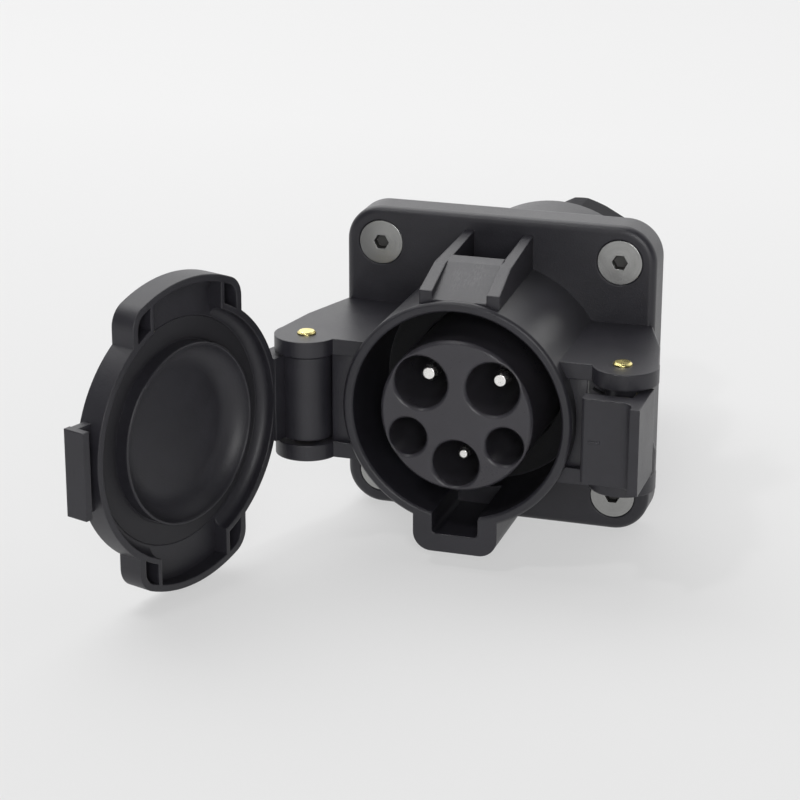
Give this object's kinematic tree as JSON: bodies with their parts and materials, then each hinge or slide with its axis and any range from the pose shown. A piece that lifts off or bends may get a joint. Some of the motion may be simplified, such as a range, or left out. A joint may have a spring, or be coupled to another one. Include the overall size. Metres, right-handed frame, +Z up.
{
  "type": "charge port inlet",
  "caption": "Vehicle charge port inlet: round contact barrel on a square panel flange, with a hinged lid, a sprung latch lever and a rear housing that ends in a cable gland.",
  "frame": {"origin": "centre of the flange's panel face, on the barrel's axis", "axes": "+Y into the panel, towards the cable gland; -Y towards the plug; +Z up; lid hinge at -X"},
  "size_m": [0.1064, 0.1796, 0.07],
  "materials": {
    "housing_plastic": "fine matte moulded texture",
    "insulator_plastic": "matte moulded",
    "seal_rubber": "matte rubber",
    "contact_metal": "bright silver plated",
    "pin_brass": "polished brass",
    "screw_metal": "dull zinc plated",
    "spring_steel": "drawn spring wire"
  },
  "bodies": {
    "inlet": {"front_housing": "housing_plastic", "contact_insulator": "insulator_plastic", "line_contact_left": "contact_metal", "line_contact_right": "contact_metal", "earth_contact": "contact_metal", "pilot_contact": "contact_metal", "proximity_contact": "contact_metal", "contact_retainer": "insulator_plastic", "retainer_screws": "screw_metal", "hinge_pin": "pin_brass", "lid_spring": "spring_steel", "latch_pin": "pin_brass", "latch_spring": "spring_steel", "corner_screws": "screw_metal", "rear_housing": "housing_plastic", "housing_seal": "seal_rubber", "gland_seal": "seal_rubber", "gland_claw": "insulator_plastic", "gland_nut": "housing_plastic"},
    "lid": {"lid": "housing_plastic", "lid_gasket": "seal_rubber"},
    "latch": {"latch_lever": "housing_plastic"}
  },
  "joints": [
    {"name": "lid_hinge", "type": "hinge", "parent": "inlet", "child": "lid", "pos_m": [-0.035, -0.0353, 0], "axis": [0, 0, 1], "range_deg": [0, 109.3], "stiffness_Nm_per_rad": 0.01, "springref_deg": -17.19, "deforming": ["lid_spring"]},
    {"name": "latch_hinge", "type": "hinge", "parent": "inlet", "child": "latch", "pos_m": [0.0343, -0.0353, 0], "axis": [0, 0, 1], "range_deg": [0, 30], "stiffness_Nm_per_rad": 0.02, "springref_deg": -17.19, "deforming": ["latch_spring"]}
  ]
}
